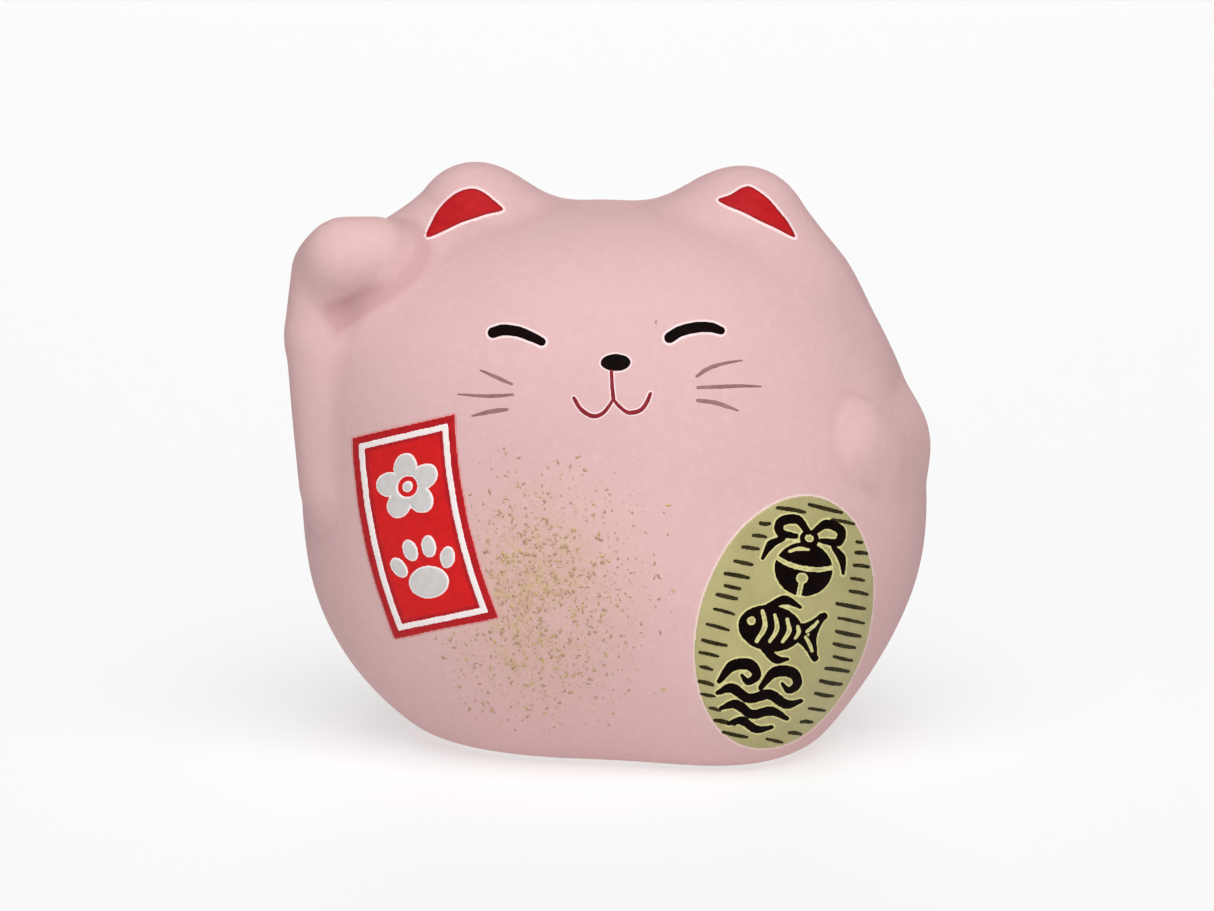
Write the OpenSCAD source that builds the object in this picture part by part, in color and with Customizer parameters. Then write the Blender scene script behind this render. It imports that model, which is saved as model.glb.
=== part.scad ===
// Beckoning cat figurine, cast hollow in pottery, left unglazed and painted by hand.
// The cat stands on z = 0 and looks along -Y, and its own left side is at +X.
// "Left" and "right" in every name are the cat's own.

/* [Figurine] */
// Width from the raised arm to the other elbow
figurine_width = 68.4; // [50:0.1:120]
// Thickness of the pottery wall
wall_thickness = 3; // [2.5:0.1:4]
// Thickness of the bottom under the hollow
bottom_thickness = 5.5; // [5:0.1:8]

/* [Base stopper] */
// Radius of the drain hole in the bottom
hole_radius = 5; // [3.5:0.1:6.5]
// Radius of the recess around the hole
recess_radius = 9.5; // [8.5:0.1:10.5]
// Depth of the recess
recess_depth = 2.6; // [2:0.1:3.5]
// Space between the stopper's stem and the hole, all round
stem_clearance = 0.05; // [0.02:0.01:0.1]

/* [Paint] */
// Thickness of a painted mark
coat = 0.12; // [0.08:0.01:0.2]
// Number of gold flakes on the belly
flake_count = 54; // [1:1:120]

/* [Detail] */
// Columns of facets around the body
body_columns = 96; // [48:2:110]
// Rows of facets from the bottom of the body to its top
body_rows = 52; // [28:2:58]

/* [Hidden] */

// Everything is drawn at this width, and size brings it to figurine_width.
drawn_width = 68.4;
size = figurine_width / drawn_width;
// Shift that brings the middle of the figurine over the origin
middle = [0.07, -0.16, 0];
wall = wall_thickness / size;
bottom = bottom_thickness / size;
hole_r = hole_radius / size;
recess_r = recess_radius / size;
recess_h = recess_depth / size;
stem_r = hole_r - stem_clearance / size;
paint = coat / size;

// Heights of the coats above the pottery: the first coat, and what is painted over it.
first_coat = [0.07, 0.07 + paint];
second_coat = [0.1 + paint, 0.1 + 2 * paint];

pottery_pink = [0.91, 0.72, 0.72];
ear_red = [0.75, 0.11, 0.13];
label_red = [0.72, 0.09, 0.11];
line_red = [0.50, 0.13, 0.12];
ink_black = [0.05, 0.04, 0.05];
whisker_brown = [0.42, 0.27, 0.25];
paint_white = [0.93, 0.91, 0.89];
koban_gold = [0.72, 0.67, 0.42];
flake_gold = [0.62, 0.49, 0.25];
stopper_grey = [0.86, 0.84, 0.81];

// ---------------------------------------------------------------- the form of the cat

// Rounded lumps that flow into each other. An egg has a centre, three half-lengths and
// the length over which it flows into the lumps before it.
belly = [[0.2, 0, 23], [32.8, 28.5, 28], 0];
head = [[-1.8, 0, 39], [29, 25, 15.5], 12];
brow = [[-1.3, -5, 43], [24, 18.5, 12.3], 10];
cheek = [[6.2, -1, 27.5], [23.2, 24, 20.4], 10];
haunch = [[12.5, -10, 13.3], [10, 15.5, 14.9], 10];

// A limb has two ends with a radius each, and the length over which it flows in.
right_ear = [[-18.8, -2, 48], [-14.3, -1.5, 56], 8.5, 6.1, 6];
left_ear = [[16.7, -2, 48.5], [14.1, -1.5, 54.8], 7.8, 6.9, 6];
temple = [[-22.2, -6.5, 49.5], [-21, -7.5, 44], 4.8, 5.4, 6];
raised_arm = [[-29.4, -8, 43], [-28.6, -9, 29], 4.65, 3.6, 3.5];
raised_wrist = [[-28.9, -8, 51], [-29.6, -8, 45], 4.55, 4.6, 1];
raised_paw = [[-27.6, -11.2, 52.8], [-24.6, -10.9, 52.9], 4.4, 4.3, 2];
left_arm = [[27.9, -4.8, 32.6], [26, -12.5, 32.7], 5.9, 4.7, 2.6];
left_paw = [[19.8, -5.5, 39.5], [23.5, -14.9, 33.9], 10, 5.5, 1.5];
tail = [[4, 25, 10], [11, 26, 16], 4.6, 4, 4];

// Roundings where the form meets its flat bottom, outside and in the hollow
base_round = 2.2;
hollow_round = 3;

// Centre from which every point of the surface can be seen
core = [0.7, -1, 30];
// Length that reaches past the surface in every direction
reach = 50;
// Centre of the recess and the drain hole in the bottom
hole_centre = [1.7, -2, 0];

function clamp(x) = min(max(x, 0), 1);

function egg(p, e) =
  let (
    q = p - e[0],
    r = e[1],
    k = norm([q.x / r.x, q.y / r.y, q.z / r.z]),
    g = norm([q.x / (r.x * r.x), q.y / (r.y * r.y), q.z / (r.z * r.z)])
  )
  k * (k - 1) / max(g, 0.0001);

function limb(p, l) =
  let (
    d = l[1] - l[0],
    t = clamp((p - l[0]) * d / (d * d))
  )
  norm(p - l[0] - t * d) - (l[2] + (l[3] - l[2]) * t);

// Smooth union of two distances, flowing together over the length k
function flow(a, b, k) =
  let (h = max(k - abs(a - b), 0))
  min(a, b) - h * h / (4 * k);

// The form f grown by one more egg or limb
function with_egg(f, p, e) = flow(f, egg(p, e), e[2]);
function with_limb(f, p, l) = flow(f, limb(p, l), l[4]);

function trunk(p) =
  with_egg(with_egg(with_egg(egg(p, belly), p, head), p, brow), p, cheek);

function with_ears(p) =
  with_limb(with_limb(trunk(p), p, right_ear), p, left_ear);

function with_raised_arm(p) =
  with_limb(with_limb(with_limb(with_limb(with_ears(p), p, temple), p, raised_arm),
      p, raised_wrist), p, raised_paw);

function with_arms(p) =
  with_limb(with_limb(with_raised_arm(p), p, left_arm), p, left_paw);

function cat(p) = with_limb(with_egg(with_arms(p), p, haunch), p, tail);

// Distance to the outer form, and to the hollow inside it
function outer_form(p) = -flow(-cat(p), p.z, base_round);
function hollow_form(p) = -flow(-cat(p) - wall, p.z - bottom, hollow_round);
function form(p, is_hollow) = is_hollow ? hollow_form(p) : outer_form(p);

// Point where the line from a, inside the form, to b, outside it, leaves the form
function leave(a, b, is_hollow, n) =
  let (m = (a + b) / 2)
  n == 0 ? m
    : form(m, is_hollow) > 0 ? leave(a, m, is_hollow, n - 1)
    : leave(m, b, is_hollow, n - 1);

function on_floor(p, z) = abs(p.z - z) < 0.01 ? [p.x, p.y, z] : p;

// Columns stand closer together at the cat's front, which carries the paint.
function column_angle(i, columns) =
  let (a = 360 * i / columns)
  a - 15 * sin(a) - 90;

module rounded_form(columns, rows, is_hollow) {
  floor_z = is_hollow ? bottom : 0;
  rays = [
    for (j = [1 : rows - 1], i = [0 : columns - 1])
      let (
        az = column_angle(i, columns),
        el = -90 + 180 * j / rows
      )
      [cos(el) * cos(az), cos(el) * sin(az), sin(el)]
  ];
  points = [
    for (d = concat(rays, [[0, 0, -1], [0, 0, 1]]))
      on_floor(leave(core, core + reach * d, is_hollow, 17), floor_z)
  ];
  south = len(rays);
  north = south + 1;
  sides = [
    for (j = [0 : rows - 3], i = [0 : columns - 1])
      let (
        k = (i + 1) % columns,
        a = j * columns + i,
        b = j * columns + k,
        c = a + columns,
        d = b + columns
      )
      each [[a, c, d], [a, d, b]]
  ];
  caps = [
    for (i = [0 : columns - 1])
      let (
        k = (i + 1) % columns,
        last = (rows - 2) * columns
      )
      each [[i, k, south], [last + i, north, last + k]]
  ];
  polyhedron(points, concat(sides, caps));
}

// ---------------------------------------------------------------- marks on the surface

// Marks are set out on an upright plane that leans back a little, as wide as the cat, and
// each point [u, v] of it goes straight on to the surface. u is to the right and v is up.
lean = 8;
across = [1, 0, 0];
upward = [0, sin(lean), cos(lean)];
outward = [0, -cos(lean), sin(lean)];

function landing(q) =
  let (foot = q.x * across + q.y * upward)
  leave(foot + 10 * outward, foot + 45 * outward, false, 17);

function normal(p) =
  let (
    h = 0.02,
    g = [
      outer_form(p + [h, 0, 0]) - outer_form(p - [h, 0, 0]),
      outer_form(p + [0, h, 0]) - outer_form(p - [0, h, 0]),
      outer_form(p + [0, 0, h]) - outer_form(p - [0, 0, h])
    ]
  )
  g / norm(g);

// Both faces of a coat over one point of the plane
function coat_pair(q, heights) =
  let (
    s = landing(q),
    n = normal(s)
  )
  [s + n * heights[0], s + n * heights[1]];

function both_faces(spots, heights) =
  let (pairs = [for (q = spots) coat_pair(q, heights)])
  concat([for (p = pairs) p[0]], [for (p = pairs) p[1]]);

function flat(rows) = [for (row = rows, p = row) p];
function two(a, b, c, d) = [[a, b, c], [a, c, d]];

// A coat over a grid of points. Each row runs to the right, and the rows go up.
module grid_coat(rows, heights) {
  m = len(rows[0]);
  n = len(rows);
  top = m * n;
  faces = concat(
    [for (j = [0 : n - 2], i = [0 : m - 2])
      let (a = j * m + i, b = a + 1, c = a + m, d = c + 1)
      each concat(two(top + a, top + c, top + d, top + b), two(a, b, d, c))],
    [for (j = [0 : n - 2])
      let (a = j * m, c = a + m, b = a + m - 1, d = c + m - 1)
      each concat(two(a, c, top + c, top + a), two(b, top + b, top + d, d))],
    [for (i = [0 : m - 2])
      let (a = i, b = i + 1, c = (n - 1) * m + i, d = c + 1)
      each concat(two(a, top + a, top + b, b), two(c, d, top + d, top + c))]
  );
  polyhedron(both_faces(flat(rows), heights), faces);
}

// A coat inside a closed outline, which runs anticlockwise and can be seen from its centre
module filled_coat(outline, heights, rings = 2) {
  n = len(outline);
  centre = [for (k = [0 : 1]) sum([for (p = outline) p[k]]) / n];
  spots = concat([centre],
    [for (r = [1 : rings], p = outline) centre + (p - centre) * r / rings]);
  top = len(spots);
  last = 1 + (rings - 1) * n;
  faces = concat(
    [for (i = [0 : n - 1])
      let (a = 1 + i, b = 1 + (i + 1) % n)
      each [[top, top + b, top + a], [0, a, b]]],
    [for (r = [0 : rings - 2], i = [0 : n - 1])
      let (a = 1 + r * n + i, b = 1 + r * n + (i + 1) % n, c = a + n, d = b + n)
      each concat(two(top + a, top + b, top + d, top + c), two(a, c, d, b))],
    [for (i = [0 : n - 1])
      let (a = last + i, b = last + (i + 1) % n)
      each two(top + a, top + b, b, a)]
  );
  polyhedron(both_faces(spots, heights), faces);
}

// A coat between two closed outlines with the same number of points, both anticlockwise
module ring_coat(outer, inner, heights) {
  n = len(outer);
  top = 2 * n;
  faces = [
    for (i = [0 : n - 1])
      let (k = (i + 1) % n, a = n + i, b = n + k)
      each concat(
        two(top + a, top + b, top + k, top + i),
        two(a, i, k, b),
        two(top + i, top + k, k, i),
        two(top + a, a, b, top + b))
  ];
  polyhedron(both_faces(concat(outer, inner), heights), faces);
}

// One brush stroke along a curve. Its width swells to full from a narrow tip, and falls
// to the share heel of it at the far end.
module brush_stroke(path, width, heights, tip = 0.25, heel = 0.25, full = 0.15, steps = 3) {
  line = curve(path, steps);
  n = len(line);
  rows = [
    for (i = [0 : n - 1])
      let (
        t = i / (n - 1),
        d = line[min(i + 1, n - 1)] - line[max(i - 1, 0)],
        side = [d.y, -d.x] / norm(d),
        rise = min(1, tip + (1 - tip) * sqrt(clamp(t / full))),
        fall = min(1, heel + (1 - heel) * sqrt(clamp((1 - t) / full))),
        w = width / 2 * min(rise, fall)
      )
      [line[i] - side * w, line[i] + side * w]
  ];
  grid_coat(rows, heights);
}

function sum(v) = v * [for (x = v) 1];

// Smooth curve through the given points, with the stated number of steps between them
function bend(a, b, c, d, t) =
  0.5 * (2 * b + (c - a) * t + (2 * a - 5 * b + 4 * c - d) * t * t
    + (3 * b - a - 3 * c + d) * t * t * t);
function curve(p, steps) =
  let (n = len(p))
  concat(
    [for (i = [0 : n - 2], s = [0 : steps - 1])
      bend(i == 0 ? 2 * p[0] - p[1] : p[i - 1], p[i], p[i + 1],
        i == n - 2 ? 2 * p[n - 1] - p[n - 2] : p[i + 2], s / steps)],
    [p[n - 1]]);
function loop(p, steps) =
  let (n = len(p))
  [for (i = [0 : n - 1], s = [0 : steps - 1])
    bend(p[(i + n - 1) % n], p[i], p[(i + 1) % n], p[(i + 2) % n], s / steps)];

function oval(centre, rx, ry, turn, n) =
  [for (i = [0 : n - 1])
    let (a = 360 * i / n, x = rx * cos(a), y = ry * sin(a))
    centre + [x * cos(turn) - y * sin(turn), x * sin(turn) + y * cos(turn)]];

// ---------------------------------------------------------------- where the marks go

right_ear_outline = [
  [-19.1, 52.9], [-15.9, 54.3], [-13.2, 55.3], [-11.1, 55.9], [-12.4, 57.2], [-13.9, 58.2],
  [-15.1, 58.2], [-16.4, 57.6], [-17.8, 56.3], [-18.6, 54.9]
];
left_ear_outline = [
  [19.5, 53], [18.9, 54.5], [18.1, 55.6], [16.7, 57.2], [15.1, 58.4], [14.1, 58.4],
  [12.7, 57.6], [11.4, 56.9], [14.2, 55.5], [17.3, 54]
];

right_eye_line = [[-12.4, 42.6], [-10.9, 43], [-9.5, 42.9], [-8.2, 42.4], [-6.5, 41.6]];
left_eye_line = [[5.7, 41.9], [7.4, 42.9], [9.3, 43.3], [10.5, 43.2], [11.8, 42.8]];
eye_width = 1.08;

nose_centre = [0.6, 39.6];
nose_half = [1.55, 0.9];
lip = [0.4, 35.9];
mouth_right = [lip, [-0.1, 35.2], [-0.7, 34.5], [-1.4, 34.2], [-2.2, 34.3], [-3, 35], [-3.6, 36.1]];
mouth_left = [lip, [0.9, 35.3], [1.7, 34.6], [2.4, 34.5], [3.2, 34.8], [3.8, 35.6], [4.2, 36.6]];
line_width = 0.45;

right_whisker_lines = [
  [[-9.9, 37.4], [-11.6, 38.2], [-13.3, 38.9]],
  [[-9.8, 36.4], [-12.4, 36.2], [-15.6, 36.4]],
  [[-10.4, 34.9], [-12.2, 34.6], [-14.1, 34.2]]
];
left_whisker_lines = [
  [[8.9, 38.2], [10.8, 39.3], [13.6, 39.9]],
  [[9, 37.1], [12, 37.3], [15.6, 37.2]],
  [[9, 35.8], [11, 35.5], [13.2, 34.7]]
];
whisker_width = 0.42;

// The label is a straight strip laid round the right side of the belly, so its long edges
// bow. Distances x and y on it are measured from its centre.
label_centre = [-19, 22.75];
label_across = [0.976, 0.217];
label_up = [-0.206, 0.978];
label_half = [5.5, 10.6];
label_bow = 0.95;
label_margin = 0.75;
label_line = 0.75;
function on_label(x, y) =
  label_centre + label_across * (x - label_bow * (1 - pow(y / label_half.y, 2)))
    + label_up * y;
function label_loop(inset, m, n) =
  let (a = label_half.x - inset, b = label_half.y - inset)
  concat(
    [for (i = [0 : m - 1]) on_label(-a + 2 * a * i / m, -b)],
    [for (j = [0 : n - 1]) on_label(a, -b + 2 * b * j / n)],
    [for (i = [0 : m - 1]) on_label(a - 2 * a * i / m, b)],
    [for (j = [0 : n - 1]) on_label(-a, b - 2 * b * j / n)]);
function label_oval(centre, rx, ry, turn, n) =
  [for (p = oval(centre, rx, ry, turn, n)) on_label(p.x, p.y)];

// The gold coin is an upright oval on the left haunch and leans a little to the cat's left.
koban_centre = [18.2, 12.9];
koban_half = [9, 13.6];
koban_turn = -15.6;
function on_koban(x, y) =
  koban_centre + [
    x * cos(koban_turn) - y * sin(koban_turn),
    x * sin(koban_turn) + y * cos(koban_turn)
  ];
function koban_line(points) = [for (p = points) on_koban(p.x, p.y)];
function koban_width(y) = koban_half.x * sqrt(max(0, 1 - pow(y / koban_half.y, 2)));
// Half the width of the column that the three emblems take up, and the pitch of the dashes
emblem_half = 4.4;
dash_pitch = 1.36;
dash_rows = 9;
dash_width = 0.32;
brush = 0.85;

// ---------------------------------------------------------------- the pieces

// Brings the drawing to its size and over the origin
module placed() {
  scale(size)
    translate(middle)
      children();
}

module ceramic_body() {
  color(pottery_pink)
    placed()
      difference() {
        rounded_form(body_columns, body_rows, false);
        rounded_form(36, 20, true);
        translate([hole_centre.x, hole_centre.y, -1])
          cylinder(h = recess_h + 1, r = recess_r, $fn = 96);
        translate([hole_centre.x, hole_centre.y, recess_h - 1])
          cylinder(h = bottom - recess_h + 3, r = hole_r, $fn = 96);
      }
}

// Soft plug: a flange that lies in the recess, a stem through the hole and a rib to pull
module base_stopper() {
  flange_top = recess_h - 0.05;
  flange_bottom = recess_h - 1.35;
  stem_top = bottom + 1.2;
  rib = [recess_r * 1.2, 1.8, 0.9];
  color(stopper_grey)
    placed()
      translate(hole_centre)
        union() {
          rotate_extrude($fn = 96)
            polygon([
              [0, flange_bottom], [recess_r - 0.6, flange_bottom],
              [recess_r - 0.4, flange_bottom + 0.3], [recess_r - 0.4, flange_top],
              [stem_r, flange_top], [stem_r, stem_top - 0.7],
              [stem_r - 0.7, stem_top], [0, stem_top]
            ]);
          translate([-rib.x / 2, -rib.y / 2, flange_bottom - rib.z])
            cube([rib.x, rib.y, rib.z + 0.3]);
        }
}

module right_ear_paint() {
  color(ear_red)
    placed()
      filled_coat(loop(right_ear_outline, 2), first_coat, 3);
}

module left_ear_paint() {
  color(ear_red)
    placed()
      filled_coat(loop(left_ear_outline, 2), first_coat, 3);
}

module right_eye() {
  color(ink_black)
    placed()
      brush_stroke(right_eye_line, eye_width, first_coat, 0.4, 0.4, 0.12, 4);
}

module left_eye() {
  color(ink_black)
    placed()
      brush_stroke(left_eye_line, eye_width, first_coat, 0.4, 0.4, 0.12, 4);
}

module nose() {
  color(ink_black)
    placed()
      filled_coat(oval(nose_centre, nose_half.x, nose_half.y, 0, 24), first_coat, 2);
}

// The line under the nose and the two curls of the mouth, in one coat
module mouth_line() {
  gap = 0.06;
  color(line_red)
    placed() {
      brush_stroke([[nose_centre.x - 0.2, nose_centre.y - nose_half.y - gap],
        [lip.x, lip.y + 1.2], [lip.x, lip.y + 0.3]], line_width, first_coat, 0.8, 0.8);
      brush_stroke([for (p = mouth_right) p - [gap + 0.2, 0.12]], line_width, first_coat);
      brush_stroke([for (p = mouth_left) p + [gap + 0.2, -0.12]], line_width, first_coat);
    }
}

module right_whiskers() {
  color(whisker_brown)
    placed()
      for (w = right_whisker_lines)
        brush_stroke(w, whisker_width, first_coat, 0.6, 0.3, 0.4);
}

module left_whiskers() {
  color(whisker_brown)
    placed()
      for (w = left_whisker_lines)
        brush_stroke(w, whisker_width, first_coat, 0.6, 0.3, 0.4);
}

module fortune_label() {
  color(label_red)
    placed()
      grid_coat([
        for (j = [0 : 12])
          [for (i = [0 : 8])
            on_label(label_half.x * (i / 4 - 1), label_half.y * (j / 6 - 1))]
      ], first_coat);
}

module label_frame() {
  color(paint_white)
    placed()
      ring_coat(label_loop(label_margin, 6, 12), label_loop(label_margin + label_line, 6, 12),
        second_coat);
}

// Five separate petals and a dot between them
module label_blossom() {
  centre = [0.1, 4.3];
  color(paint_white)
    placed() {
      for (k = [0 : 4])
        let (a = 90 + 72 * k)
        filled_coat(label_oval(centre + 2.1 * [cos(a), sin(a)], 1.25, 1.05, a, 14),
          second_coat, 1);
      filled_coat(label_oval(centre, 0.6, 0.6, 0, 10), second_coat, 1);
    }
}

// A broad pad with four toes over it
module label_paw_print() {
  centre = [0, -4.6];
  color(paint_white)
    placed() {
      filled_coat(label_oval(centre + [0, -0.9], 2.2, 1.7, 0, 20), second_coat, 1);
      for (toe = [[-2.7, 1, 20], [-1, 2.3, 5], [1, 2.3, -5], [2.7, 1, -20]])
        filled_coat(label_oval(centre + [toe.x, toe.y], 0.8, 1.15, toe.z, 12),
          second_coat, 1);
    }
}

module koban_ground() {
  color(koban_gold)
    placed()
      filled_coat(koban_line(oval([0, 0], koban_half.x, koban_half.y, 0, 48)), first_coat, 7);
}

// Short dashes on both sides of the emblems, longer towards the middle of the coin
module koban_hatching() {
  color(ink_black)
    placed()
      for (k = [-dash_rows : dash_rows], side = [-1, 1])
        let (
          y = k * dash_pitch,
          edge = koban_width(y + side * 0.3) - 0.7,
          start = emblem_half + 0.4
        )
        if (edge - start > 0.7)
          brush_stroke(koban_line([[side * start, y + side * 0.1],
            [side * (start + edge) / 2, y + side * 0.25], [side * edge, y + side * 0.4]]),
            dash_width, second_coat, 0.6, 0.6, 0.2, 2);
}

// A round bell: its rim, its band and the slot below
module koban_bell() {
  c = [0, 8.2];
  color(ink_black)
    placed() {
      ring_coat(koban_line(oval(c, 3, 2.7, 0, 28)),
        koban_line(oval(c, 3 - brush, 2.7 - brush, 0, 28)), second_coat);
      brush_stroke(koban_line([c + [-1.7, 0.5], c + [0, 0.2], c + [1.7, 0.5]]),
        brush * 0.8, second_coat);
      brush_stroke(koban_line([c + [0, -0.5], c + [0, -1.6]]), brush * 0.8, second_coat);
      filled_coat(koban_line(oval(c + [0, 3.5], 0.75, 0.6, 0, 12)), second_coat, 1);
    }
}

// A fish: its outline, its eye and two lines on its side
module koban_fish() {
  c = [0, 0.3];
  color(ink_black)
    placed() {
      brush_stroke(koban_line([c + [3.9, 2], c + [2.4, 0.3], c + [0.2, 2.1], c + [-2.3, 1.8],
        c + [-4, 0.1], c + [-2.3, -1.8], c + [0.2, -2]]), brush, second_coat);
      brush_stroke(koban_line([c + [4, -1.8], c + [2.7, -0.8], c + [1.2, -1.5]]),
        brush, second_coat);
      brush_stroke(koban_line([c + [-1, 0.9], c + [-0.7, 0], c + [-1, -0.9]]),
        brush * 0.8, second_coat);
      brush_stroke(koban_line([c + [0.7, 0.8], c + [1, 0], c + [0.7, -0.8]]),
        brush * 0.8, second_coat);
      filled_coat(koban_line(oval(c + [-2.4, 0.3], 0.45, 0.45, 0, 10)), second_coat, 1);
    }
}

// Three rolling lines of water
module koban_wave() {
  c = [0, -7.2];
  color(ink_black)
    placed()
      for (k = [0 : 2])
        let (w = 3.7 - 0.5 * k, y = 2 - 1.9 * k)
        brush_stroke(koban_line([c + [-w, y - 0.5], c + [-w / 2, y + 0.5],
          c + [0, y - 0.3], c + [w / 2, y + 0.5], c + [w, y - 0.4]]), brush, second_coat);
}

// Flakes scattered over the belly, closer together towards the middle of the patch
module gold_dust() {
  patch_centre = [-6.5, 17];
  patch_half = [9.5, 13];
  spread = rands(0, 1, 3 * flake_count, 7);
  color(flake_gold)
    placed()
      for (k = [0 : flake_count - 1])
        let (
          a = 137.5 * k,
          r = sqrt((k + 0.5) / flake_count) * (0.55 + 0.45 * spread[3 * k]),
          p = patch_centre + [patch_half.x * r * cos(a), patch_half.y * r * sin(a)],
          w = 0.16 + 0.12 * spread[3 * k + 1],
          from_label = (p - label_centre) * label_across
        )
        if (from_label > label_half.x + 0.5)
          filled_coat(oval(p, w, w * 0.75, 360 * spread[3 * k + 2], 6), first_coat, 1);
}

ceramic_body();
base_stopper();
right_ear_paint();
left_ear_paint();
right_eye();
left_eye();
nose();
mouth_line();
right_whiskers();
left_whiskers();
fortune_label();
label_frame();
label_blossom();
label_paw_print();
koban_ground();
koban_hatching();
koban_bell();
koban_fish();
koban_wave();
gold_dust();
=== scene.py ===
"""Looks of a beckoning cat, cast hollow in pottery, left matt and painted by hand.

The form is that of the CAD body, drawn again much more finely, and each painted mark is a thin
film that follows it. The drawing is in millimetres; place() brings it into the shared frame.
Left and right in the names are the cat's own.
"""

import math

import bpy
import numpy as np
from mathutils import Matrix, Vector


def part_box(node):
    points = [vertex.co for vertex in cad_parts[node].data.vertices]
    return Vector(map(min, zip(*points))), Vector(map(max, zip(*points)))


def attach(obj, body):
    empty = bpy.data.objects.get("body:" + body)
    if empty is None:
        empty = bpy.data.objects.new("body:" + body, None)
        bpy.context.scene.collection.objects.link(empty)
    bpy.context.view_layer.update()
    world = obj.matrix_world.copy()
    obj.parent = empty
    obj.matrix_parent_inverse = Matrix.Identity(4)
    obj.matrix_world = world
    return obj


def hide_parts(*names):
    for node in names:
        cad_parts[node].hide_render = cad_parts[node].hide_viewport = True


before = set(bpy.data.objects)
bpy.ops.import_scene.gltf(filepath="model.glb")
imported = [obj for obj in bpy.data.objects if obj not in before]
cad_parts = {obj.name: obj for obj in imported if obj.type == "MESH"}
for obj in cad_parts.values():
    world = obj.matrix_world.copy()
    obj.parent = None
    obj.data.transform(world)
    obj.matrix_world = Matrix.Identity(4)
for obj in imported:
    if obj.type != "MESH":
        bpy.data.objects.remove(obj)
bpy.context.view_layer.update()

MM = 0.001

# ---------------- the form of the cat

EGG, LIMB = "egg", "limb"
# An egg has a centre, half-lengths and the length over which it flows into what is before it.
# A limb has two ends, a radius at each, and that length.
LUMPS = (
    (EGG, (0.2, 0, 23), (32.8, 28.5, 28), 0),  # belly
    (EGG, (-1.8, 0, 39), (29, 25, 15.5), 12),  # head
    (EGG, (-1.3, -5, 43), (24, 18.5, 12.3), 10),  # brow
    (EGG, (6.2, -1, 27.5), (23.2, 24, 20.4), 10),  # left cheek and side
    (LIMB, (-18.8, -2, 48), (-14.3, -1.5, 56), 8.5, 6.1, 6),  # right ear
    (LIMB, (16.7, -2, 48.5), (14.1, -1.5, 54.8), 7.8, 6.9, 6),  # left ear
    (LIMB, (-22.2, -6.5, 49.5), (-21, -7.5, 44), 4.8, 5.4, 6),  # right temple
    (LIMB, (-29.4, -8, 43), (-28.6, -9, 29), 4.65, 3.6, 3.5),  # raised forearm
    (LIMB, (-28.9, -8, 51), (-29.6, -8, 45), 4.55, 4.6, 1),  # raised wrist
    (LIMB, (-27.6, -11.2, 52.8), (-24.6, -10.9, 52.9), 4.4, 4.3, 2),  # raised paw
    (LIMB, (27.9, -4.8, 32.6), (26, -12.5, 32.7), 5.9, 4.7, 2.6),  # left arm
    (LIMB, (19.8, -5.5, 39.5), (23.5, -14.9, 33.9), 10, 5.5, 1.5),  # left paw
    (EGG, (12.5, -10, 13.3), (10, 15.5, 14.9), 10),  # left haunch
    (LIMB, (4, 25, 10), (11, 26, 16), 4.6, 4, 4),  # tail
)
CORE = np.array((0.7, -1.0, 30.0))  # every point of the outer form can be seen from here
REACH = 50  # a length from CORE that ends outside the cat in every direction
BASE_ROUND = 2.2  # how softly the sides meet the base


def egg(p, centre, half):
    """Distance of the points p outside an egg, close to true near its surface."""
    q = p - centre
    half = np.array(half, float)
    k = np.linalg.norm(q / half, axis=1)
    g = np.linalg.norm(q / half**2, axis=1)
    return k * (k - 1) / np.maximum(g, 1e-4)


def limb(p, a, b, ra, rb):
    """Distance of the points p outside a limb from a to b."""
    a, b = np.array(a, float), np.array(b, float)
    d = b - a
    t = np.clip((p - a) @ d / (d @ d), 0, 1)
    return np.linalg.norm(p - a - t[:, None] * d, axis=1) - (ra + (rb - ra) * t)


def flow(a, b, k):
    """Smooth union of two distances."""
    h = np.maximum(k - np.abs(a - b), 0)
    return np.minimum(a, b) - h * h / (4 * k)


def cat(p):
    """All the lumps flowing into each other, with nothing cut off below."""
    f = None
    for kind, *lump, k in LUMPS:
        g = egg(p, *lump) if kind == EGG else limb(p, *lump)
        f = g if f is None else flow(f, g, k)
    return f


def outer_form(p):
    """The outside of the cat, flat where it stands: below 0 inside, above 0 outside."""
    return -flow(-cat(p), p[:, 2], BASE_ROUND)


def gradient(f, p, h=0.02):
    steps = np.eye(3) * h
    return np.stack([(f(p + s) - f(p - s)) / (2 * h) for s in steps], 1)


def leave(f, a, b, rounds=24):
    """Where lines from the points a, inside the form f, to the points b leave it."""
    a, b = a.copy(), b.copy()
    for _ in range(rounds):
        m = (a + b) / 2
        out = f(m) > 0
        b[out], a[~out] = m[out], m[~out]
    return (a + b) / 2


def form_box():
    """Lowest and highest corner of the outer form."""
    az, el = np.meshgrid(np.radians(np.arange(0, 360, 2)), np.radians(np.arange(-90, 91, 2)))
    d = np.stack([np.cos(el) * np.cos(az), np.cos(el) * np.sin(az), np.sin(el)], -1)
    rays = d.reshape(-1, 3)
    start = np.tile(CORE, (len(rays), 1))
    p = leave(outer_form, start, start + REACH * rays)
    return p.min(0), p.max(0)


# The drawing is brought to the CAD body's width and over its middle, standing on its base.
body_low, body_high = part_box("ceramic_body")
drawn_low, drawn_high = form_box()
SCALE = (body_high.x - body_low.x) / (drawn_high[0] - drawn_low[0])
SHIFT = np.array(
    [
        (body_low[k] + body_high[k]) / (2 * SCALE) - (drawn_low[k] + drawn_high[k]) / 2
        for k in (0, 1)
    ]
    + [body_low.z / SCALE]
)


def place(p):
    """Metres in the shared frame, from the drawing's millimetres."""
    return (p + SHIFT) * SCALE


# ---------------- the hollow pottery

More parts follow.
